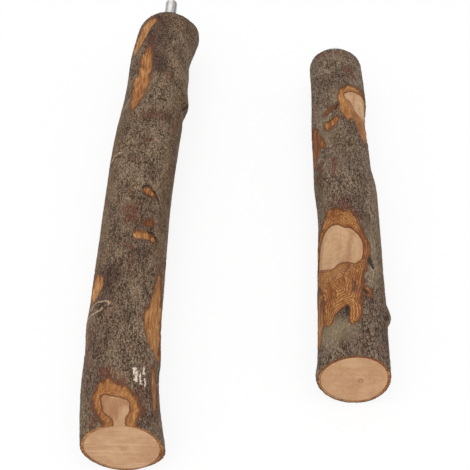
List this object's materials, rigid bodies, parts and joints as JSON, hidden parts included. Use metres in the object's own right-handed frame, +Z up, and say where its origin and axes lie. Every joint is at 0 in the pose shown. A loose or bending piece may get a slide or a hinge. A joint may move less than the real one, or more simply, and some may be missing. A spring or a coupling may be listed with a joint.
{
  "type": "bird perch",
  "caption": "Natural branch cage perches with their bark on: sawn ends, trimmed side stubs, and a hanger bolt in the back of each with washers and a nut to clamp it to cage bars",
  "frame": {"origin": "Centre of the bottom of the pair's bounding box, on the ground the perches lie on", "axes": "+Y runs along the branches from the sawn front ends to the bolted ends, +Z is up, +X runs from the long perch to the short one"},
  "size_m": [0.12, 0.281, 0.0315],
  "materials": {
    "heartwood": "sawn, bare",
    "bark": "natural bark, matte",
    "bolt_steel": "bright zinc plated thread",
    "washer_steel": "zinc plated",
    "nut_steel": "zinc plated"
  },
  "bodies": {
    "long_perch": {"long_wood": "heartwood", "long_bark": "bark", "long_hanger_bolt": "bolt_steel"},
    "long_inner_washer": {"long_inner_washer": "washer_steel"},
    "long_outer_washer": {"long_outer_washer": "washer_steel"},
    "long_nut": {"long_nut": "nut_steel"},
    "short_perch": {"short_wood": "heartwood", "short_bark": "bark", "short_hanger_bolt": "bolt_steel"},
    "short_inner_washer": {"short_inner_washer": "washer_steel"},
    "short_outer_washer": {"short_outer_washer": "washer_steel"},
    "short_nut": {"short_nut": "nut_steel"}
  },
  "joints": [
    {"name": "short_perch_apart", "type": "slide", "parent": "long_perch", "child": "short_perch", "axis": [1, 0, 0], "range_m": [0, 0.1]},
    {"name": "long_inner_washer_spin", "type": "hinge", "parent": "long_perch", "child": "long_inner_washer", "pos_m": [-0.04048, 0.10955, 0.01594], "axis": [0, 1, 0], "continuous": true},
    {"name": "long_outer_washer_slide", "type": "slide", "parent": "long_perch", "child": "long_outer_washer", "axis": [0, 1, 0], "range_m": [-0.0024, 0.02]},
    {"name": "long_nut_turn", "type": "hinge", "parent": "long_outer_washer", "child": "long_nut", "pos_m": [-0.04048, 0.1153, 0.01594], "axis": [0, 1, 0], "range_deg": [-865, 7201]},
    {"name": "short_inner_washer_spin", "type": "hinge", "parent": "short_perch", "child": "short_inner_washer", "pos_m": [0.04485, 0.08805, 0.01304], "axis": [0, 1, 0], "continuous": true},
    {"name": "short_outer_washer_slide", "type": "slide", "parent": "short_perch", "child": "short_outer_washer", "axis": [0, 1, 0], "range_m": [-0.0024, 0.003]},
    {"name": "short_nut_turn", "type": "hinge", "parent": "short_outer_washer", "child": "short_nut", "pos_m": [0.04485, 0.0938, 0.01304], "axis": [0, 1, 0], "range_deg": [-865, 1081]}
  ],
  "couplings": [
    {"joint": "long_nut_turn", "follows": "long_outer_washer_slide", "rad_per_m": 6283.2},
    {"joint": "short_nut_turn", "follows": "short_outer_washer_slide", "rad_per_m": 6283.2}
  ]
}
